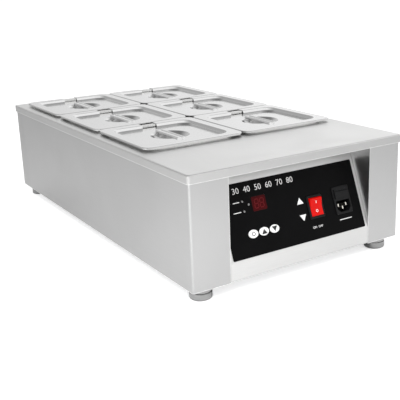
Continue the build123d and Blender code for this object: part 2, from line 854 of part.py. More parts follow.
def make_terminal_block():
    """Row of screw terminals on the base plate."""
    width, length, height = block_size
    block = slab(width, length, moulding_corner, base_top, base_top + height)
    for index in range(block_poles):
        x = (index - (block_poles - 1) / 2) * block_pitch
        block -= Pos(x, 0, base_top + height) * Cylinder(block_pitch / 4, height)
    return Pos(block_x, bay_middle, 0) * block


def make_earth_stud():
    """Earthing screw with its nut, through the base plate."""
    stud = prism(Circle(earth_radius), foot_height, base_top + earth_length)
    stud += prism(RegularPolygon(2 * earth_radius, 6), base_top, base_top + 2 * earth_radius)
    return Pos(earth_x, bay_middle, 0) * stud


def wire(*points):
    """Insulated wire along the points, with round bends."""
    path = FilletPolyline(*points, radius=wire_bend)
    return sweep(Plane(origin=path @ 0, z_dir=path % 0) * Circle(wire_radius), path=path)


def make_internal_wires():
    """Wires from the inlet to the terminals and the earth stud, and on to the relay and the element."""
    block_z = base_top + block_size[2] / 2
    block_front = bay_middle - block_size[1] / 2
    block_left = block_x - block_size[0] / 2
    block_right = block_x + block_size[0] / 2
    relay_right = relay_x + relay_size[0] / 2
    relay_rear = bay_middle + relay_size[1] / 2
    relay_z = base_top + relay_size[2] / 4
    sag_z = base_top + 2 * wire_radius
    terminal_y = tank_front - element_tail - element_terminal_length
    nut_top = base_top + 2 * earth_radius
    earth_wire_x = earth_x - earth_radius - wire_radius
    leads = []
    for x, y in blade_places:
        u, v = inlet_place[0] + x, inlet_place[1] + y
        leads.append([slope_point(u, v, height) for height in (blade_end, blade_end - wire_lead)])
    over_stud = (earth_wire_x, bay_middle, nut_top + 3 * wire_lead)
    wires = [wire(*leads[1], over_stud, (earth_wire_x, bay_middle, nut_top))]
    for lead, pole in ((leads[0], 1), (leads[2], 2)):
        x = block_x + pole * block_pitch
        wires.append(wire(*lead, (x, block_front - wire_lead, block_z), (x, block_front, block_z)))
    for y in (bay_middle - wire_spread, bay_middle + wire_spread):
        wires.append(
            wire(
                (block_left, y, block_z),
                (block_left - wire_lead, y, block_z),
                (block_left - 2 * wire_lead, y, sag_z),
                (relay_right + 2 * wire_lead, y, sag_z),
                (relay_right + wire_lead, y, relay_z),
                (relay_right, y, relay_z),
            )
        )
    wires.append(
        wire(
            (relay_x, relay_rear, relay_z),
            (relay_x, relay_rear + wire_lead, relay_z),
            (-element_x, terminal_y - wire_lead, element_z),
            (-element_x, terminal_y, element_z),
        )
    )
    wires.append(
        wire(
            (block_right, bay_middle, block_z),
            (block_right + wire_lead, bay_middle, block_z),
            (element_x, terminal_y - wire_lead, element_z),
            (element_x, terminal_y, element_z),
        )
    )
    return wires


left_panel = make_left_panel()
pan = make_pan()
lid = make_lid()
strap = make_strap()
foot = make_foot()
button = make_button()

pieces = {
    "top_deck": make_top_deck(),
    "left_side_panel": left_panel,
    "right_side_panel": mirror(left_panel, about=Plane.YZ),
    "rear_panel": make_rear_panel(),
    "front_console": make_front_console(),
    "control_label": make_control_label(),
    "base_plate": make_base_plate(),
    "well_tank": make_well_tank(),
    "insulation": make_insulation(),
    "heating_element": make_heating_element(),
    "element_supports": make_element_supports(),
    "temperature_probe": make_temperature_probe(),
    "safety_cutout": make_safety_cutout(),
    "display_window": make_display_window(),
    "display_module": make_display_module(),
    "indicator_lamps": make_indicator_lamps(),
    "control_board": make_control_board(),
    "board_posts": make_board_posts(),
    "button_switches": make_button_switches(),
    "rocker_frame": make_rocker_frame(),
    "rocker": make_rocker(),
    "inlet_body": make_inlet_body(),
    "inlet_pins": make_inlet_pins(),
    "fuse_drawer": make_fuse_drawer(),
    "fuses": make_fuses(),
    "foot_nuts": make_foot_nuts(),
    "base_screws": make_base_screws(),
    "power_relay": make_power_relay(),
    "terminal_block": make_terminal_block(),
    "earth_stud": make_earth_stud(),
    "internal_wires": make_internal_wires(),
}
for name, column in button_columns.items():
    pieces[name] = on_slope(button, (column, button_row))
for name, place in foot_places.items():
    pieces[name] = Pos(*place, 0) * foot
for name, place in pan_places.items():
    pieces[f"pan_{name}"] = Pos(*place, 0) * pan
    pieces[f"lid_{name}"] = Pos(*place, 0) * lid
    pieces[f"strap_{name}"] = Pos(*place, 0) * strap

for name, piece in pieces.items():
    shapes = piece if isinstance(piece, list) else [piece]
    solids = [solid for shape in shapes for solid in shape.solids()]
    export_step(Compound(children=solids), f"parts/{name}.step")
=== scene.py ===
import logging
import math
from dataclasses import dataclass, field
from enum import Enum

import bmesh
import bpy
from mathutils import Matrix, Vector
from mathutils.bvhtree import BVHTree


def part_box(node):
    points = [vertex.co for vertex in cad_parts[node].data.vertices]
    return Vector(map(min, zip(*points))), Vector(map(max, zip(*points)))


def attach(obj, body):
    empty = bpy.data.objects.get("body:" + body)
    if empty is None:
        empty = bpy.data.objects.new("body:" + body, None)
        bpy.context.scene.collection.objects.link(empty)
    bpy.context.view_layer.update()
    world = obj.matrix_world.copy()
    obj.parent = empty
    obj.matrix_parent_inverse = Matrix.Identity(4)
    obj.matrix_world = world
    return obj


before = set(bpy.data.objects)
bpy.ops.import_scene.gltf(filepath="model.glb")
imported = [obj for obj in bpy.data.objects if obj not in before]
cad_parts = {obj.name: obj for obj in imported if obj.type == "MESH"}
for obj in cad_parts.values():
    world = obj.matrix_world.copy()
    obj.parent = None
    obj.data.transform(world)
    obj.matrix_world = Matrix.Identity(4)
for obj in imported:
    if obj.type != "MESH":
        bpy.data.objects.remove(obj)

logging.basicConfig(level=logging.INFO, format="%(message)s")
log = logging.getLogger("melter")

MM = 0.001
INK_LIFT = 0.03 * MM
CAPITAL_SHARE = 0.7
LIDS = [f"{row}_{side}" for row in ("front", "middle", "rear") for side in ("left", "right")]


class Lay(Enum):
    """Direction that the brushing of a steel face runs in."""

    ACROSS = (1.0, 60.0, 60.0)
    ALONG = (60.0, 1.0, 60.0)
    UP = (60.0, 60.0, 1.0)
    TURNED = (1.0, 1.0, 140.0)
    NONE = (8.0, 8.0, 8.0)


class Socket(Enum):
    """Kinds of socket on a shared node group."""

    COLOUR = "NodeSocketColor"
    VALUE = "NodeSocketFloat"
    VECTOR = "NodeSocketVector"


def add_node(
    tree: bpy.types.NodeTree, kind: str, values: dict[str | int, object] | None = None, **settings: object
) -> bpy.types.Node:
    """Adds a node to a shader tree.

    Args:
        tree: Tree of a material, a group or the world.
        kind: Blender's name for the node.
        values: Inputs to set on it, by name or number.
        settings: Attributes to set on it.

    Returns:
        The node.
    """
    made = tree.nodes.new(kind)
    for key, value in settings.items():
        setattr(made, key, value)
    for key, value in (values or {}).items():
        made.inputs[key].default_value = value
    return made


class Group:
    """A shared shader node group, built once and placed in many materials."""

    def __init__(self, name: str) -> None:
        """Starts an empty group.

        Args:
            name: Name of the group.
        """
        self.tree = bpy.data.node_groups.new(name, "ShaderNodeTree")
        self.start = self.tree.nodes.new("NodeGroupInput")
        self.end = self.tree.nodes.new("NodeGroupOutput")

    def takes(self, name: str, kind: Socket, value: object) -> None:
        """Adds a named input.

        Args:
            name: Name of the input.
            kind: Kind of socket.
            value: Its first value.
        """
        item = self.tree.interface.new_socket(name, in_out="INPUT", socket_type=kind.value)
        item.default_value = value

    def gives(self, name: str, kind: Socket) -> None:
        """Adds a named output.

        Args:
            name: Name of the output.
            kind: Kind of socket.
        """
        self.tree.interface.new_socket(name, in_out="OUTPUT", socket_type=kind.value)

    def node(
        self, kind: str, values: dict[str | int, object] | None = None, **settings: object
    ) -> bpy.types.Node:
        """Adds a node to the group.

        Args:
            kind: Blender's name for the node.
            values: Inputs to set on it, by name or number.
            settings: Attributes to set on it.

        Returns:
            The node.
        """
        return add_node(self.tree, kind, values, **settings)

    def join(self, start: bpy.types.NodeSocket, end: bpy.types.NodeSocket) -> None:
        """Links two sockets."""
        self.tree.links.new(start, end)


class Effects:
    """The shader node groups that the finishes share."""

    broad_streaks = 0.35
    fine_noise = {"Detail": 4.0, "Roughness": 0.65}
    broad_noise = {"Scale": 6.0, "Detail": 2.0}
    cloud_noise = {"Detail": 5.0, "Distortion": 0.8}
    cloud_range = {"From Min": 0.42, "From Max": 0.68}
    grain_noise = {"Detail": 3.0}
    chip_noise = {"Scale": 160.0, "Detail": 3.0}
    chip_range = {"From Min": 1.35, "From Max": 0.75}

    def __init__(self) -> None:
        """Builds every group."""
        self.brushing = self._brushing()
        self.handling = self._handling()
        self.moulding = self._moulding()
        self.edges = self._edges()

    def _brushing(self) -> Group:
        """Fine streaks along one direction.

        Returns:
            A group that gives a streak mask and a height.
        """
        group = Group("brushing")
        group.takes("Stretch", Socket.VECTOR, Lay.ACROSS.value)
        group.takes("Scale", Socket.VALUE, 30.0)
        group.gives("Streak", Socket.VALUE)
        group.gives("Height", Socket.VALUE)
        place = group.node("ShaderNodeTexCoord")
        scaled = group.node("ShaderNodeVectorMath", operation="MULTIPLY")
        fine = group.node("ShaderNodeTexNoise", self.fine_noise)
        broad = group.node("ShaderNodeTexNoise", self.broad_noise)
        mixed = group.node("ShaderNodeMath", {1: self.broad_streaks}, operation="MULTIPLY_ADD")
        group.join(place.outputs["Object"], scaled.inputs[0])
        group.join(group.start.outputs["Stretch"], scaled.inputs[1])
        group.join(scaled.outputs[0], fine.inputs["Vector"])
        group.join(group.start.outputs["Scale"], fine.inputs["Scale"])
        group.join(place.outputs["Object"], broad.inputs["Vector"])
        group.join(broad.outputs["Fac"], mixed.inputs[0])
        group.join(fine.outputs["Fac"], mixed.inputs[2])
        group.join(mixed.outputs[0], group.end.inputs["Streak"])
        group.join(fine.outputs["Fac"], group.end.inputs["Height"])
        return group

    def _handling(self) -> Group:
        """Faint smudges from wiping and handling.

        Returns:
            A group that gives a smudge mask.
        """
        group = Group("handling")
        group.takes("Scale", Socket.VALUE, 9.0)
        group.gives("Smudge", Socket.VALUE)
        place = group.node("ShaderNodeTexCoord")
        cloud = group.node("ShaderNodeTexNoise", self.cloud_noise)
        shaped = group.node("ShaderNodeMapRange", self.cloud_range, clamp=True)
        group.join(place.outputs["Object"], cloud.inputs["Vector"])
        group.join(group.start.outputs["Scale"], cloud.inputs["Scale"])
        group.join(cloud.outputs["Fac"], shaped.inputs["Value"])
        group.join(shaped.outputs[0], group.end.inputs["Smudge"])
        return group

    def _moulding(self) -> Group:
        """Fine spark-eroded texture of moulded plastic.

        Returns:
            A group that gives a grain mask.
        """
        group = Group("moulding")
        group.takes("Scale", Socket.VALUE, 900.0)
        group.gives("Grain", Socket.VALUE)
        place = group.node("ShaderNodeTexCoord")
        grain = group.node("ShaderNodeTexNoise", self.grain_noise)
        group.join(place.outputs["Object"], grain.inputs["Vector"])
        group.join(group.start.outputs["Scale"], grain.inputs["Scale"])
        group.join(grain.outputs["Fac"], group.end.inputs["Grain"])
        return group

    def _edges(self) -> Group:
        """Rubbed edges of a box-shaped part with a painted highlight along them, broken up by noise.

        Returns:
            A group that gives a mask along the edges.
        """
        group = Group("edge_wear_and_highlight")
        group.takes("Centre", Socket.VECTOR, (0.0, 0.0, 0.0))
        group.takes("Half", Socket.VECTOR, (1.0, 1.0, 1.0))
        group.takes("Width", Socket.VALUE, 0.002)
        group.gives("Edge", Socket.VALUE)
        place = group.node("ShaderNodeTexCoord")
        local = group.node("ShaderNodeVectorMath", operation="SUBTRACT")
        folded = group.node("ShaderNodeVectorMath", operation="ABSOLUTE")
        depth = group.node("ShaderNodeVectorMath", operation="SUBTRACT")
        parts = group.node("ShaderNodeSeparateXYZ")
        near = group.node("ShaderNodeMath", operation="MINIMUM")
        far = group.node("ShaderNodeMath", operation="MAXIMUM")
        inner = group.node("ShaderNodeMath", operation="MINIMUM")
        second = group.node("ShaderNodeMath", operation="MAXIMUM")
        share = group.node("ShaderNodeMath", operation="DIVIDE")
        broken = group.node("ShaderNodeTexNoise", self.chip_noise)
        wobble = group.node("ShaderNodeMath", operation="ADD")
        mask = group.node("ShaderNodeMapRange", self.chip_range, clamp=True)
        group.join(place.outputs["Object"], local.inputs[0])
        group.join(group.start.outputs["Centre"], local.inputs[1])
        group.join(local.outputs[0], folded.inputs[0])
        group.join(group.start.outputs["Half"], depth.inputs[0])
        group.join(folded.outputs[0], depth.inputs[1])
        group.join(depth.outputs[0], parts.inputs[0])
        group.join(parts.outputs["X"], near.inputs[0])
        group.join(parts.outputs["Y"], near.inputs[1])
        group.join(parts.outputs["X"], far.inputs[0])
        group.join(parts.outputs["Y"], far.inputs[1])
        group.join(far.outputs[0], inner.inputs[0])
        group.join(parts.outputs["Z"], inner.inputs[1])
        group.join(near.outputs[0], second.inputs[0])
        group.join(inner.outputs[0], second.inputs[1])
        group.join(second.outputs[0], share.inputs[0])
        group.join(group.start.outputs["Width"], share.inputs[1])
        group.join(place.outputs["Object"], broken.inputs["Vector"])
        group.join(share.outputs[0], wobble.inputs[0])
        group.join(broken.outputs["Fac"], wobble.inputs[1])
        group.join(wobble.outputs[0], mask.inputs["Value"])
        group.join(mask.outputs[0], group.end.inputs["Edge"])
        return group


@dataclass(frozen=True)
class Finish:
    """What every finish has: a name, a colour and a gloss."""

    name: str
    colour: tuple[float, float, float]
    roughness: float

    def start(self) -> tuple[bpy.types.Material, bpy.types.Node]:
        """Makes the material with its plain settings.

        Returns:
            The material and its Principled node.
        """
        material = bpy.data.materials.new(self.name)
        material.use_nodes = True
        shader = material.node_tree.nodes["Principled BSDF"]
        shader.inputs["Base Color"].default_value = (*self.colour, 1.0)
        shader.inputs["Roughness"].default_value = self.roughness
        material.diffuse_color = (*self.colour, 1.0)
        return material, shader

    @staticmethod
    def place(material: bpy.types.Material, group: Group) -> bpy.types.Node:
        """Places a shared group in a material.

        Args:
            material: Material to add it to.
            group: The shared group.

        Returns:
            The group's node.
        """
        return add_node(material.node_tree, "ShaderNodeGroup", node_tree=group.tree)

    @staticmethod
    def blend(
        material: bpy.types.Material,
        mask: bpy.types.NodeSocket,
        low: tuple[float, float, float],
        high: tuple[float, float, float],
    ) -> bpy.types.NodeSocket:
        """Mixes two colours by a mask.

        Args:
            material: Material to add the mix to.
            mask: Socket that gives the share of the second colour.
            low: First colour.
            high: Second colour.

        Returns:
            The mixed colour's socket.
        """
        ends = {"A": (*low, 1.0), "B": (*high, 1.0)}
        mix = add_node(material.node_tree, "ShaderNodeMix", ends, data_type="RGBA")
        material.node_tree.links.new(mask, mix.inputs["Factor"])
        return mix.outputs["Result"]

    @staticmethod
    def ranged(
        material: bpy.types.Material, mask: bpy.types.NodeSocket, low: float, high: float
    ) -> bpy.types.NodeSocket:
        """Turns a mask from 0 to 1 into a value between two ends.

        Args:
            material: Material to add the node to.
            mask: Socket that gives the mask.
            low: Value at a mask of 0.
            high: Value at a mask of 1.

        Returns:
            The value's socket.
        """
        node = add_node(material.node_tree, "ShaderNodeMapRange", {"To Min": low, "To Max": high})
        material.node_tree.links.new(mask, node.inputs["Value"])
        return node.outputs[0]

    @staticmethod
    def bump(
        material: bpy.types.Material,
        shader: bpy.types.Node,
        height: bpy.types.NodeSocket,
        depth: float,
        strength: float = 1.0,
    ) -> None:
        """Raises the surface's normal by a height.

        Args:
            material: Material to add the node to.
            shader: Principled node that takes the normal.
            height: Socket that gives the height from 0 to 1.
            depth: Depth of the relief in metres.
            strength: Share of the relief that shows.
        """
        node = add_node(material.node_tree, "ShaderNodeBump", {"Distance": depth, "Strength": strength})
        material.node_tree.links.new(height, node.inputs["Height"])
        material.node_tree.links.new(node.outputs["Normal"], shader.inputs["Normal"])


@dataclass(frozen=True)
class Steel(Finish):
    """Brushed, wiped or turned metal."""

    lay: Lay = Lay.ALONG
    scale: float = 30.0
    depth: float = 0.00002
    spread: float = 0.10
    tint: float = 0.08
    # Edges inside edge_box are painted lighter, towards edge_tone, as rubbed wear and as a painted highlight.
    edge_box: tuple[tuple[float, float, float], tuple[float, float, float]] | None = None
    edge_width: float = 0.0012
    edge_tone: float = 0.95
    smudge: float = 0.06
    # flank: share of the colour kept on upright faces; below 1 it paints shade on them.
    flank: float = 1.0

    def build(self, effects: Effects) -> bpy.types.Material:
        """Makes the material.

        Args:
            effects: The shared groups.

        Returns:
            The material.
        """
        material, shader = self.start()
        links = material.node_tree.links
        shader.inputs["Metallic"].default_value = 1.0
        brushing = self.place(material, effects.brushing)
        brushing.inputs["Stretch"].default_value = self.lay.value
        brushing.inputs["Scale"].default_value = self.scale
        handling = self.place(material, effects.handling)
        darker = tuple(channel * (1.0 - self.tint) for channel in self.colour)
        lighter = tuple(min(channel * (1.0 + self.tint), 1.0) for channel in self.colour)
        colour = self.blend(material, brushing.outputs["Streak"], darker, lighter)
        # Painted shade: upright faces darker than level ones.
        if self.flank < 1.0:
            colour = self._shaded(material, colour)
        # Rubbed wear and a painted highlight along the edges.
        if self.edge_box:
            colour = self._rubbed(material, effects, colour)
        links.new(colour, shader.inputs["Base Color"])
        streaked = self.ranged(
            material, brushing.outputs["Streak"], self.roughness - self.spread, self.roughness + self.spread
        )
        wiped = add_node(material.node_tree, "ShaderNodeMath", {1: self.smudge}, operation="MULTIPLY_ADD")
        links.new(handling.outputs["Smudge"], wiped.inputs[0])
        links.new(streaked, wiped.inputs[2])
        links.new(wiped.outputs[0], shader.inputs["Roughness"])
        self.bump(material, shader, brushing.outputs["Height"], self.depth)
        return material

    def _shaded(self, material: bpy.types.Material, colour: bpy.types.NodeSocket) -> bpy.types.NodeSocket:
        """Paints shade on the faces that stand upright: darkens them against the level faces.

        Args:
            material: Material to add the nodes to.
            colour: Colour of the level faces.

        Returns:
            The colour with painted shade on its flanks.
        """
        tree, links = material.node_tree, material.node_tree.links
        facing = add_node(tree, "ShaderNodeTexCoord")
        axes = add_node(tree, "ShaderNodeSeparateXYZ")
        level = add_node(tree, "ShaderNodeMath", operation="ABSOLUTE")
        shaded = add_node(tree, "ShaderNodeVectorMath", operation="SCALE")
        links.new(facing.outputs["Normal"], axes.inputs[0])
        links.new(axes.outputs["Z"], level.inputs[0])
        links.new(colour, shaded.inputs[0])
        links.new(self.ranged(material, level.outputs[0], self.flank, 1.0), shaded.inputs["Scale"])
        return shaded.outputs[0]

    def _rubbed(
        self, material: bpy.types.Material, effects: Effects, colour: bpy.types.NodeSocket
    ) -> bpy.types.NodeSocket:
        """Brightens the colour along the part's outer edges, as rubbed wear and as a painted highlight.

        Args:
            material: Material to add the nodes to.
            effects: The shared groups.
            colour: Colour of the faces.

        Returns:
            The colour with its rubbed edges and painted edge highlight.
        """
        low, high = (Vector(corner) for corner in self.edge_box)
        edges = self.place(material, effects.edges)
        edges.inputs["Centre"].default_value = (low + high) / 2
        edges.inputs["Half"].default_value = (high - low) / 2
        edges.inputs["Width"].default_value = self.edge_width
        bright = {"B": (self.edge_tone, self.edge_tone, self.edge_tone, 1.0)}
        mix = add_node(material.node_tree, "ShaderNodeMix", bright, data_type="RGBA")
        material.node_tree.links.new(edges.outputs["Edge"], mix.inputs["Factor"])
        material.node_tree.links.new(colour, mix.inputs["A"])
        return mix.outputs["Result"]


@dataclass(frozen=True)
class Plastic(Finish):
    """Moulded plastic with a fine texture."""

    scale: float = 900.0
    depth: float = 0.00004
    coat: float = 0.0
    shine: float = 0.5
    # glow: strength of a painted glow in the plastic's own colour.
    glow: float = 0.0
    lift: float = 0.006
    gain: float = 1.12
    smudge_scale: float = 40.0
    polish: float = 0.03
    dulling: float = 0.08
    relief: float = 0.6

    def build(self, effects: Effects) -> bpy.types.Material:
        """Makes the material.

        Args:
            effects: The shared groups.

        Returns:
            The material.
        """
        material, shader = self.start()
        links = material.node_tree.links
        shader.inputs["Coat Weight"].default_value = self.coat
        shader.inputs["Specular IOR Level"].default_value = self.shine
        # Where glow is set, as on the rocker, the emission is a painted glow.
        shader.inputs["Emission Color"].default_value = (*self.colour, 1.0)
        shader.inputs["Emission Strength"].default_value = self.glow
        moulding = self.place(material, effects.moulding)
        moulding.inputs["Scale"].default_value = self.scale
        handling = self.place(material, effects.handling)
        handling.inputs["Scale"].default_value = self.smudge_scale
        smudge = handling.outputs["Smudge"]
        lighter = tuple(min(channel * self.gain + self.lift, 1.0) for channel in self.colour)
        links.new(self.blend(material, smudge, self.colour, lighter), shader.inputs["Base Color"])
        gloss = self.ranged(material, smudge, self.roughness - self.polish, self.roughness + self.dulling)
        links.new(gloss, shader.inputs["Roughness"])
        self.bump(material, shader, moulding.outputs["Grain"], self.depth, self.relief)
        return material


@dataclass(frozen=True)
class Tinted(Finish):
    """Clear or tinted plastic or glass, such as a lamp's lens or a fuse's tube."""

    clearness: float = 0.9
    refraction: float = 1.49
    smudge_scale: float = 60.0
    dulling: float = 0.06

    def build(self, effects: Effects) -> bpy.types.Material:
        """Makes the material.

        Args:
            effects: The shared groups.

        Returns:
            The material.
        """
        material, shader = self.start()
        links = material.node_tree.links
        shader.inputs["Transmission Weight"].default_value = self.clearness
        shader.inputs["IOR"].default_value = self.refraction
        handling = self.place(material, effects.handling)
        handling.inputs["Scale"].default_value = self.smudge_scale
        dulled = self.roughness + self.dulling
        gloss = self.ranged(material, handling.outputs["Smudge"], self.roughness, dulled)
        links.new(gloss, shader.inputs["Roughness"])
        return material


@dataclass(frozen=True)
class Print(Finish):
    """Printed ink, with the slight unevenness of a screen print."""

    shine: float = 0.5
    grain_scale: float = 2500.0
    fade: float = 0.86

    def build(self, effects: Effects) -> bpy.types.Material:
        """Makes the material.

        Args:
            effects: The shared groups.

        Returns:
            The material.
        """
        material, shader = self.start()
        shader.inputs["Specular IOR Level"].default_value = self.shine
        moulding = self.place(material, effects.moulding)
        moulding.inputs["Scale"].default_value = self.grain_scale
        faded = tuple(channel * self.fade for channel in self.colour)
        colour = self.blend(material, moulding.outputs["Grain"], self.colour, faded)
        material.node_tree.links.new(colour, shader.inputs["Base Color"])
        return material


@dataclass(frozen=True)
class Fibre(Finish):
    """Matted mineral wool."""

    stretch: tuple[float, float, float] = (4.0, 14.0, 14.0)
    scale: float = 60.0
    shade: float = 0.7
    depth: float = 0.0008

    def build(self, effects: Effects) -> bpy.types.Material:
        """Makes the material.

        Args:
            effects: The shared groups.

        Returns:
            The material.
        """
        material, shader = self.start()
        brushing = self.place(material, effects.brushing)
        brushing.inputs["Stretch"].default_value = self.stretch
        brushing.inputs["Scale"].default_value = self.scale
        darker = tuple(channel * self.shade for channel in self.colour)
        colour = self.blend(material, brushing.outputs["Streak"], darker, self.colour)
        material.node_tree.links.new(colour, shader.inputs["Base Color"])
        self.bump(material, shader, brushing.outputs["Height"], self.depth)
        return material


class Finishes:
    """Every material of the object, by the part it is for."""

    def __init__(self, effects: Effects) -> None:
        """Builds the materials.

        Args:
            effects: The shared groups.
        """
        deck, left, right = (self._span(node) for node in ("top_deck", "left_side_panel", "right_side_panel"))
        table = {
            # Painted light and shade: deck, console and both side panels are one brushed steel, given
            # different tones for how light falls on each; the side panels are darker than the deck, the left
            # one darkest.
            "deck": Steel("deck_steel", (0.88, 0.88, 0.875), 0.34, edge_box=deck, flank=0.72),
            "left_side": Steel("left_steel", (0.56, 0.56, 0.56), 0.30, edge_box=left),
            "right_side": Steel("right_steel", (0.60, 0.60, 0.60), 0.30, edge_box=right),
            "rear": Steel("rear_steel", (0.70, 0.70, 0.70), 0.38, lay=Lay.ACROSS),
            "console": Steel("console_steel", (0.77, 0.77, 0.765), 0.36, lay=Lay.ACROSS),
            "lid": Steel("lid_steel", (0.77, 0.77, 0.77), 0.10, depth=0.000003, spread=0.03),
            "strap": Steel("strap_steel", (0.95, 0.95, 0.95), 0.14, depth=0.000003, spread=0.03),
            "pan": Steel("pan_steel", (0.78, 0.78, 0.77), 0.24, lay=Lay.UP, depth=0.00001),
            "tank": Steel("tank_steel", (0.62, 0.62, 0.60), 0.42),
            "base": Steel("base_steel", (0.60, 0.61, 0.62), 0.45, lay=Lay.ACROSS),
            # The foot's dark tone is painted shade, for the shade under the housing.
            "foot": Steel(
                "foot_steel", (0.36, 0.36, 0.36), 0.16, lay=Lay.TURNED, scale=24.0, depth=0.00003, tint=0.3
            ),
            "screw": Steel("screw_steel", (0.66, 0.66, 0.64), 0.30, lay=Lay.NONE, scale=60.0),
            "element": Steel("element_alloy", (0.30, 0.27, 0.25), 0.48, lay=Lay.NONE, scale=90.0, tint=0.2),
            "brass": Steel("post_brass", (0.80, 0.62, 0.33), 0.24, lay=Lay.UP, scale=40.0),
            "pin": Steel("pin_nickel", (0.80, 0.77, 0.70), 0.22, lay=Lay.UP, scale=40.0),
            "label": Plastic(
                "label_black",
                (0.002, 0.002, 0.0022),
                0.42,
                scale=1600.0,
                depth=0.00002,
                shine=0.06,
                lift=0.0006,
            ),
            "moulded": Plastic("moulded_black", (0.004, 0.004, 0.0045), 0.34, shine=0.2, lift=0.0015),
            "board": Plastic("board_green", (0.02, 0.16, 0.07), 0.35, scale=500.0),
            "relay": Plastic("relay_grey", (0.55, 0.55, 0.52), 0.45),
            "wire": Plastic("wire_sleeve", (0.05, 0.05, 0.055), 0.5, scale=700.0),
            # The rocker's glow is painted light: a faint red emission that brightens it.
            "rocker": Plastic(
                "rocker_red",
                (0.56, 0.003, 0.001),
                0.22,
                depth=0.00001,
                coat=0.1,
                shine=0.12,
                glow=0.12,
                lift=0.001,
            ),
            "button": Plastic("button_white", (0.86, 0.86, 0.85), 0.30, depth=0.00003),
            "window": Plastic(
                "window_red", (0.045, 0.002, 0.003), 0.16, depth=0.000002, shine=0.08, lift=0.0005
            ),
            "lens": Tinted("lamp_lens", (0.50, 0.50, 0.50), 0.12, clearness=0.5),
            "fuse": Tinted("fuse_glass", (0.9, 0.95, 0.95), 0.04, clearness=1.0),
            "ink": Print("white_ink", (0.86, 0.86, 0.86), 0.5),
            "black_ink": Print("black_ink", (0.012, 0.012, 0.012), 0.5),
            "dim_ink": Print("dim_segment", (0.10, 0.003, 0.005), 0.5, shine=0.1),
            "wool": Fibre("mineral_wool", (0.74, 0.72, 0.64), 0.95),
        }
        self.by_name = {name: finish.build(effects) for name, finish in table.items()}

    @staticmethod
    def _span(node: str) -> tuple[tuple[float, float, float], tuple[float, float, float]]:
        """Lowest and highest corner of a CAD node."""
        low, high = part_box(node)
        return tuple(low), tuple(high)

    def __getitem__(self, name: str) -> bpy.types.Material:
        """The material for a part."""
        return self.by_name[name]


class Piece:
    """Helpers for dressing nodes and for making new pieces."""

    @staticmethod
    def dress(node: str, material: bpy.types.Material) -> None:
        """Gives a CAD node its finish.

        Args:
            node: Name of the node.
            material: The finish.
        """
        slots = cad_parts[node].material_slots
        if not slots:
            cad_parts[node].data.materials.append(material)
        for slot in slots:
            slot.material = material
        log.info("dressed %s in %s", node, material.name)

    @staticmethod
    def keep(
        name: str, mesh: bmesh.types.BMesh, material: bpy.types.Material, body: str, slot: str
    ) -> bpy.types.Object:
        """Turns a finished bmesh into a piece that rides on a body.

        Args:
            name: Name of the piece.
            mesh: Its mesh, already in place.
            material: Its finish.
            body: Body that carries it.
            slot: The record's material slot; not used.

        Returns:
            The new object.
        """
        data = bpy.data.meshes.new(name)
        mesh.to_mesh(data)
        mesh.free()
        data.materials.append(material)
        made = bpy.data.objects.new(name, data)
        bpy.context.scene.collection.objects.link(made)
        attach(made, body)
        log.info("made %s: %d faces", name, len(data.polygons))
        return made

    @staticmethod
    def plate(outline: list[tuple[float, float]]) -> bmesh.types.BMesh:
        """A thin printed shape.

        Args:
            outline: Its corners in millimetres, in order round the origin.

        Returns:
            The mesh, 0.06 mm thick.
        """
        mesh = bmesh.new()
        sunk = Vector((0.0, 0.0, INK_LIFT))
        face = mesh.faces.new([mesh.verts.new(Vector((x, y, 0.0)) * MM - sunk) for x, y in outline])
        raised = bmesh.ops.extrude_face_region(mesh, geom=[face])
        corners = [item for item in raised["geom"] if isinstance(item, bmesh.types.BMVert)]
        bmesh.ops.translate(mesh, verts=corners, vec=(0.0, 0.0, 2 * INK_LIFT))
        bmesh.ops.recalc_face_normals(mesh, faces=mesh.faces)
        return mesh

    @staticmethod
    def ring(outer: float, inner: float, steps: int = 32) -> bmesh.types.BMesh:
        """A thin printed ring.

        Args:
            outer: Outer radius in millimetres.
            inner: Inner radius in millimetres.
            steps: Sides of the ring.

        Returns:
            The mesh, 0.06 mm thick.
        """
        mesh = bmesh.new()
        section = [(outer, -INK_LIFT), (outer, INK_LIFT), (inner, INK_LIFT), (inner, -INK_LIFT)]
        corners = [mesh.verts.new((radius * MM, 0.0, height)) for radius, height in section]
        edges = [mesh.edges.new(pair) for pair in zip(corners, corners[1:] + corners[:1])]
        bmesh.ops.spin(
            mesh,
            geom=corners + edges,
            cent=(0, 0, 0),
            axis=(0, 0, 1),
            angle=math.tau,
            steps=steps,
            use_merge=True,
        )
        bmesh.ops.recalc_face_normals(mesh, faces=mesh.faces)
        return mesh

    @staticmethod
    def lettering(words: str, height: float) -> bmesh.types.BMesh:
        """Plain characters as a thin flat mesh, centred on the origin.

        Args:
            words: What is printed.
            height: Height of a capital in metres.

        Returns:
            The mesh, 0.06 mm thick.
        """
        curve = bpy.data.curves.new("letters", "FONT")
        curve.body = words
        curve.align_x = "CENTER"
        curve.align_y = "CENTER"
        curve.size = height / CAPITAL_SHARE
        curve.resolution_u = 3
        curve.extrude = INK_LIFT
        holder = bpy.data.objects.new("letters", curve)
        bpy.context.scene.collection.objects.link(holder)
        bpy.context.view_layer.update()
        flat = bpy.data.meshes.new_from_object(holder.evaluated_get(bpy.context.evaluated_depsgraph_get()))
        mesh = bmesh.new()
        mesh.from_mesh(flat)
        bmesh.ops.remove_doubles(mesh, verts=mesh.verts, dist=1e-7)
        bpy.data.objects.remove(holder)
        bpy.data.curves.remove(curve)
        bpy.data.meshes.remove(flat)
        return mesh


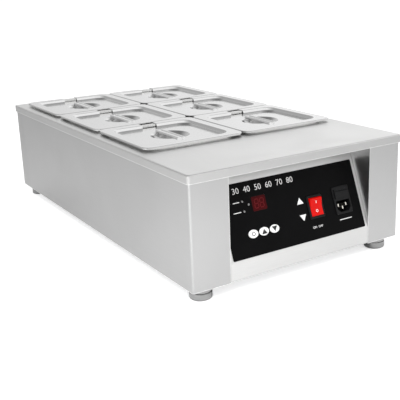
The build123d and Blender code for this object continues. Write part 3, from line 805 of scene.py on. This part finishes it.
@dataclass
class Slope:
    """The console's sloped face, with u across it and v up it, in millimetres."""

    foot: tuple[float, float, float] = (0.0, -325.5, 44.0)
    lean: float = 50.0
    rise: float = 129.0
    clear: float = 40.0

    def matrix(self) -> Matrix:
        """Placing of the slope's own axes in the row frame.

        Returns:
            A matrix from slope coordinates in metres.
        """
        length = math.hypot(self.lean, self.rise)
        up = Vector((0.0, self.lean / length, self.rise / length))
        out = Vector((0.0, -self.rise / length, self.lean / length))
        turn = Matrix((Vector((1.0, 0.0, 0.0)), up, out)).transposed().to_4x4()
        return Matrix.Translation(Vector(self.foot) * MM) @ turn

    def lay_on(self, mesh: bmesh.types.BMesh, node: str, u: float, v: float) -> bmesh.types.BMesh:
        """Lays a flat mesh on a CAD node, turned to the face that it meets.

        Args:
            mesh: Mesh made flat round the origin.
            node: Node that carries it.
            u: Place across the slope in millimetres.
            v: Place up the slope in millimetres.

        Returns:
            The same mesh.
        """
        slope = self.matrix()
        outward = (slope.to_3x3() @ Vector((0.0, 0.0, 1.0))).normalized()
        start = slope @ (Vector((u, v, self.clear)) * MM)
        tree = BVHTree.FromObject(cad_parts[node], bpy.context.evaluated_depsgraph_get())
        spot, normal, _, _ = tree.ray_cast(start, -outward)
        across = slope.to_3x3() @ Vector((1.0, 0.0, 0.0))
        up = normal.cross(across).normalized()
        across = up.cross(normal).normalized()
        turn = Matrix((across, up, normal)).transposed().to_4x4()
        moved = Matrix.Translation(spot + normal * INK_LIFT) @ turn
        bmesh.ops.transform(mesh, matrix=moved, verts=mesh.verts)
        return mesh


@dataclass(frozen=True)
class Lamp:
    """A soft lamp that lights the floor and the plastics but leaves no glare on the steel.

    Attributes:
        name: Name of the lamp.
        place: Where it hangs, in metres.
        target: Where it points, in metres.
        size: Its width in metres.
        power: Its power in watts.
    """

    name: str
    place: tuple[float, float, float]
    target: tuple[float, float, float]
    size: float
    power: float

    def hang(self) -> None:
        """Makes the lamp, hidden from the camera and from glossy rays."""
        data = bpy.data.lights.new(self.name, "AREA")
        data.size = self.size
        data.energy = self.power
        lamp = bpy.data.objects.new(self.name, data)
        lamp.location = self.place
        lamp.visible_camera = False
        lamp.visible_glossy = False
        aim = Vector(self.target) - Vector(self.place)
        lamp.rotation_euler = aim.to_track_quat("-Z", "Y").to_euler()
        bpy.context.scene.collection.objects.link(lamp)


@dataclass(frozen=True)
class Ramp:
    """A straight run of tones along one direction of the background.

    Attributes:
        start: Where it starts along the direction.
        end: Where it ends.
        low: Tone at its start.
        high: Tone at its end.
    """

    start: float
    end: float
    low: float = 0.0
    high: float = 1.0

    def node(self, tree: bpy.types.NodeTree) -> bpy.types.Node:
        """Makes the ramp's node.

        Args:
            tree: The world's tree.

        Returns:
            The node.
        """
        ends = {"From Min": self.start, "From Max": self.end, "To Min": self.low, "To Max": self.high}
        return add_node(tree, "ShaderNodeMapRange", ends)


@dataclass
class Studio:
    """Camera, floor, lamps and background."""

    focal: float = 66.463
    sensor: float = 36.0
    position: tuple[float, float, float] = (-0.602988, -1.069263, 0.408280)
    yaw: float = 0.564
    pitch: float = -0.275
    roll: float = -0.032
    shift: tuple[float, float] = (-0.05, -0.05)
    far_end: float = 60.0
    floor_half: float = 25.0
    floor_tone: float = 0.9
    floor_glow: float = 0.6
    world_strength: float = 0.55
    across: Ramp = Ramp(-0.8, 0.5, 0.28, 0.85)
    front: Ramp = Ramp(0.0, 1.4, 1.9, 0.8)
    height: Ramp = Ramp(0.44, 0.72)
    lamps: tuple[Lamp, ...] = (
        Lamp("key_lamp", (-0.7, -0.8, 0.9), (-0.2, -0.4, 0.0), 0.7, 14.0),
        Lamp("top_lamp", (0.7, 0.5, 2.4), (0.0, 0.0, 0.1), 2.0, 10.0),
    )

    def build(self) -> None:
        """Makes the whole studio."""
        scene = bpy.context.scene
        scene.view_settings.view_transform = "Standard"
        self._camera(scene)
        self._floor()
        self._world(scene)
        for lamp in self.lamps:
            lamp.hang()

    def _camera(self, scene: bpy.types.Scene) -> None:
        """Makes the camera at the photograph's viewing angle.

        Args:
            scene: Scene to give it to.
        """
        forward = Vector(
            (
                math.sin(self.yaw) * math.cos(self.pitch),
                math.cos(self.yaw) * math.cos(self.pitch),
                math.sin(self.pitch),
            )
        )
        level = Vector((math.cos(self.yaw), -math.sin(self.yaw), 0.0))
        upward = level.cross(forward)
        side = math.cos(self.roll) * level + math.sin(self.roll) * upward
        top = math.cos(self.roll) * upward - math.sin(self.roll) * level
        turn = Matrix((side, top, -forward)).transposed().to_4x4()
        data = bpy.data.cameras.new("view_camera")
        data.lens = self.focal
        data.sensor_width = self.sensor
        data.shift_x, data.shift_y = self.shift
        data.clip_end = self.far_end
        camera = bpy.data.objects.new("view_camera", data)
        camera.matrix_world = Matrix.Translation(self.position) @ turn
        scene.collection.objects.link(camera)
        scene.camera = camera
        log.info("camera at %s", tuple(self.position))

    def _floor(self) -> None:
        """Makes the pale floor, which glows a little to the camera alone."""
        material = bpy.data.materials.new("floor_paper")
        material.use_nodes = True
        tree, links = material.node_tree, material.node_tree.links
        shader = tree.nodes["Principled BSDF"]
        shader.inputs["Base Color"].default_value = (self.floor_tone, self.floor_tone, self.floor_tone, 1.0)
        shader.inputs["Roughness"].default_value = 0.9
        shader.inputs["Specular IOR Level"].default_value = 0.0
        shader.inputs["Emission Color"].default_value = (1.0, 1.0, 1.0, 1.0)
        path = add_node(tree, "ShaderNodeLightPath")
        glow = add_node(tree, "ShaderNodeMath", {1: self.floor_glow}, operation="MULTIPLY")
        links.new(path.outputs["Is Camera Ray"], glow.inputs[0])
        links.new(glow.outputs[0], shader.inputs["Emission Strength"])
        mesh = bmesh.new()
        bmesh.ops.create_grid(mesh, x_segments=2, y_segments=2, size=self.floor_half)
        data = bpy.data.meshes.new("floor")
        mesh.to_mesh(data)
        mesh.free()
        data.materials.append(material)
        floor = bpy.data.objects.new("floor", data)
        bpy.context.scene.collection.objects.link(floor)

    def _world(self, scene: bpy.types.Scene) -> None:
        """Makes the background, white to the camera and softly graded to metal.

        Args:
            scene: Scene to give it to.
        """
        world = bpy.data.worlds.new("studio_world")
        world.use_nodes = True
        scene.world = world
        tree, links = world.node_tree, world.node_tree.links
        tree.nodes.clear()
        out = add_node(tree, "ShaderNodeOutputWorld")
        seen = add_node(tree, "ShaderNodeBackground", {"Color": (1.0, 1.0, 1.0, 1.0)})
        lit = add_node(tree, "ShaderNodeBackground", {"Strength": self.world_strength})
        path = add_node(tree, "ShaderNodeLightPath")
        mix = add_node(tree, "ShaderNodeMixShader")
        place = add_node(tree, "ShaderNodeTexCoord")
        split = add_node(tree, "ShaderNodeSeparateXYZ")
        diagonal = add_node(tree, "ShaderNodeMath", operation="SUBTRACT")
        across, front, height = (ramp.node(tree) for ramp in (self.across, self.front, self.height))
        whole = add_node(tree, "ShaderNodeMix")
        links.new(place.outputs["Generated"], split.inputs[0])
        links.new(split.outputs["X"], across.inputs["Value"])
        links.new(split.outputs["Y"], diagonal.inputs[0])
        links.new(split.outputs["X"], diagonal.inputs[1])
        links.new(diagonal.outputs[0], front.inputs["Value"])
        links.new(split.outputs["Z"], height.inputs["Value"])
        links.new(height.outputs[0], whole.inputs["Factor"])
        links.new(front.outputs[0], whole.inputs["A"])
        links.new(across.outputs[0], whole.inputs["B"])
        links.new(whole.outputs["Result"], lit.inputs["Color"])
        links.new(path.outputs["Is Camera Ray"], mix.inputs["Fac"])
        links.new(lit.outputs[0], mix.inputs[1])
        links.new(seen.outputs[0], mix.inputs[2])
        links.new(mix.outputs[0], out.inputs["Surface"])


@dataclass
class Housing:
    """Deck, walls, tank and everything fixed inside."""

    finishes: Finishes
    wear: dict[str, str] = field(
        default_factory=lambda: {
            "top_deck": "deck",
            "left_side_panel": "left_side",
            "right_side_panel": "right_side",
            "rear_panel": "rear",
            "front_console": "console",
            "control_label": "label",
            "base_plate": "base",
            "well_tank": "tank",
            "insulation": "wool",
            "heating_element": "element",
            "element_supports": "tank",
            "temperature_probe": "screw",
            "safety_cutout": "screw",
            "display_window": "window",
            "display_module": "moulded",
            "indicator_lamps": "lens",
            "control_board": "board",
            "board_posts": "brass",
            "button_switches": "moulded",
            "rocker_frame": "moulded",
            "inlet_body": "moulded",
            "inlet_pins": "pin",
            "internal_wires": "wire",
            "foot_nuts": "screw",
            "base_screws": "screw",
            "power_relay": "relay",
            "terminal_block": "moulded",
            "earth_stud": "screw",
        }
    )

    def build(self) -> None:
        """Dresses every fixed node."""
        for node, finish in self.wear.items():
            Piece.dress(node, self.finishes[finish])
        for corner in ("front_left", "front_right", "rear_left", "rear_right"):
            Piece.dress(f"foot_{corner}", self.finishes["foot"])


@dataclass
class LidSet:
    """Pans, lids and straps."""

    finishes: Finishes

    def build(self) -> None:
        """Dresses the pans, lids and straps."""
        for name in LIDS:
            Piece.dress(f"pan_{name}", self.finishes["pan"])
            Piece.dress(f"lid_{name}", self.finishes["lid"])
            Piece.dress(f"strap_{name}", self.finishes["strap"])


class Segment(Enum):
    """Bars of a seven-segment digit: middle across, middle up, and whether it stands."""

    TOP = (0.0, 2.0, False)
    MIDDLE = (0.0, 0.0, False)
    BOTTOM = (0.0, -2.0, False)
    UPPER_LEFT = (-1.0, 1.0, True)
    UPPER_RIGHT = (1.0, 1.0, True)
    LOWER_LEFT = (-1.0, -1.0, True)
    LOWER_RIGHT = (1.0, -1.0, True)


@dataclass
class Digits:
    """The two unlit digits behind the display window's film."""

    finishes: Finishes
    slope: Slope
    middle: tuple[float, float] = (-56.3, 69.6)
    pitch: float = 8.6
    reach: float = 3.0
    bar: float = 1.5
    gap: float = 0.2
    slant: float = 0.08

    def build(self) -> None:
        """Prints both digits on the window."""
        for index, side in enumerate((-0.5, 0.5)):
            for segment in Segment:
                across, up, stands = segment.value
                u = self.middle[0] + side * self.pitch + across * self.reach + up * self.reach * self.slant
                v = self.middle[1] + up * self.reach
                shape = Piece.plate(self._outline(stands))
                self.slope.lay_on(shape, "display_window", u, v)
                name = f"digit_{index}_{segment.name.lower()}"
                Piece.keep(name, shape, self.finishes["dim_ink"], "housing", "window_red")

    def _outline(self, stands: bool) -> list[tuple[float, float]]:
        """Six-sided bar.

        Args:
            stands: Whether the bar stands upright.

        Returns:
            Its corners.
        """
        half = self.reach - self.gap
        flank = half - self.bar / 2
        thick = self.bar / 2
        below = [(-half, 0), (-flank, -thick), (flank, -thick)]
        corners = below + [(-x, -y) for x, y in below]
        if stands:
            return [(-y + x * self.slant, x) for x, y in corners]
        return corners


@dataclass
class Controls:
    """Buttons, rocker, fuse drawer and the print on the label."""

    finishes: Finishes
    slope: Slope
    scale_row: float = 91.0
    scale_start: float = -89.0
    scale_pitch: float = 18.0
    scale_height: float = 8.0
    scale_numbers: tuple[int, ...] = (30, 40, 50, 60, 70, 80)
    arrow_place: tuple[float, float] = (10.0, 47.5)
    arrow_gap: float = 12.0
    arrow_half: float = 5.6
    triangle_squat: float = 0.8
    line_half: float = 0.55
    lines: tuple[tuple[str, float, float, float], ...] = (
        ("lamp_line_upper", -92.0, 76.0, 5.0),
        ("lamp_line_lower", -93.0, 62.7, 6.0),
        ("inlet_line", 83.0, 20.0, 11.0),
    )
    words: str = "ON  OFF"
    words_place: tuple[float, float] = (31.0, 18.7)
    words_height: float = 3.2
    button_row: float = 31.3
    button_places: tuple[float, float, float] = (-76.3, -58.9, -41.5)
    button_ring: tuple[float, float] = (2.9, 1.9)
    button_triangle: float = 4.4
    stroke_place: tuple[float, float] = (34.0, 53.2)
    stroke_half: tuple[float, float] = (0.5, 2.0)
    ring_place: tuple[float, float] = (34.0, 40.8)
    rocker_ring: tuple[float, float] = (2.0, 1.2)

    def build(self) -> None:
        """Dresses the moving controls and prints the label."""
        for name in ("set_button", "up_button", "down_button"):
            Piece.dress(name, self.finishes["button"])
        Piece.dress("rocker", self.finishes["rocker"])
        Piece.dress("fuse_drawer", self.finishes["moulded"])
        Piece.dress("fuses", self.finishes["fuse"])
        self._scale()
        self._arrows()
        self._bars()
        self._button_marks()
        self._rocker_marks()
        Digits(self.finishes, self.slope).build()

    def _print(self, name: str, shape: bmesh.types.BMesh, u: float, v: float) -> None:
        """Prints a white shape on the label.

        Args:
            name: Name of the print.
            shape: Its flat mesh.
            u: Place across the slope in millimetres.
            v: Place up the slope in millimetres.
        """
        self.slope.lay_on(shape, "control_label", u, v)
        Piece.keep(name, shape, self.finishes["ink"], "housing", "label_black")

    def _triangle(self, half: float, upright: bool) -> bmesh.types.BMesh:
        """A plain triangle.

        Args:
            half: Half its width in millimetres.
            upright: Whether it points up the slope.

        Returns:
            The mesh.
        """
        tip = (half if upright else -half) * self.triangle_squat
        return Piece.plate([(-half, -tip), (half, -tip), (0.0, tip)])

    @staticmethod
    def _bar(across: float, up: float) -> bmesh.types.BMesh:
        """A plain rectangle.

        Args:
            across: Half its width in millimetres.
            up: Half its height in millimetres.

        Returns:
            The mesh.
        """
        return Piece.plate([(-across, -up), (across, -up), (across, up), (-across, up)])

    def _scale(self) -> None:
        """Prints a plain number scale along the label's head."""
        for index, number in enumerate(self.scale_numbers):
            u = self.scale_start + index * self.scale_pitch
            shape = Piece.lettering(str(number), self.scale_height * MM)
            self._print(f"scale_number_{number}", shape, u, self.scale_row)

    def _arrows(self) -> None:
        """Prints the two plain triangles beside the switch."""
        u, v = self.arrow_place
        self._print("arrow_up", self._triangle(self.arrow_half, True), u, v + self.arrow_gap)
        self._print("arrow_down", self._triangle(self.arrow_half, False), u, v - self.arrow_gap)

    def _bars(self) -> None:
        """Prints plain lines beside the lamps, the words under the switch and a line under the inlet."""
        for name, u, v, half in self.lines:
            self._print(name, self._bar(half, self.line_half), u, v)
        self._print("switch_words", Piece.lettering(self.words, self.words_height * MM), *self.words_place)

    def _mark(self, name: str, shape: bmesh.types.BMesh, node: str, place: tuple[float, float]) -> None:
        """Prints a mark on a moving control, in black on a button and in white on the rocker.

        Args:
            name: Name of the mark.
            shape: Its flat mesh.
            node: Control that it is printed on, which is also the body that carries it.
            place: Place across and up the slope in millimetres.
        """
        ink, slot = ("ink", "rocker_red") if node == "rocker" else ("black_ink", "button_white")
        self.slope.lay_on(shape, node, *place)
        Piece.keep(name, shape, self.finishes[ink], node, slot)

    def _button_marks(self) -> None:
        """Prints a ring and two triangles on the buttons."""
        shapes = (
            Piece.ring(*self.button_ring),
            self._triangle(self.button_triangle, True),
            self._triangle(self.button_triangle, False),
        )
        for button, u, shape in zip(("set_button", "up_button", "down_button"), self.button_places, shapes):
            self._mark(f"{button}_mark", shape, button, (u, self.button_row))

    def _rocker_marks(self) -> None:
        """Prints the stroke and the ring of a mains switch on the rocker."""
        self._mark("rocker_stroke", self._bar(*self.stroke_half), "rocker", self.stroke_place)
        self._mark("rocker_ring", Piece.ring(*self.rocker_ring), "rocker", self.ring_place)


def main() -> None:
    """Builds the scene in order."""
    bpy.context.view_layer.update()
    effects = Effects()
    finishes = Finishes(effects)
    Studio().build()
    Housing(finishes).build()
    LidSet(finishes).build()
    Controls(finishes, Slope()).build()


if __name__ == "__main__":
    main()
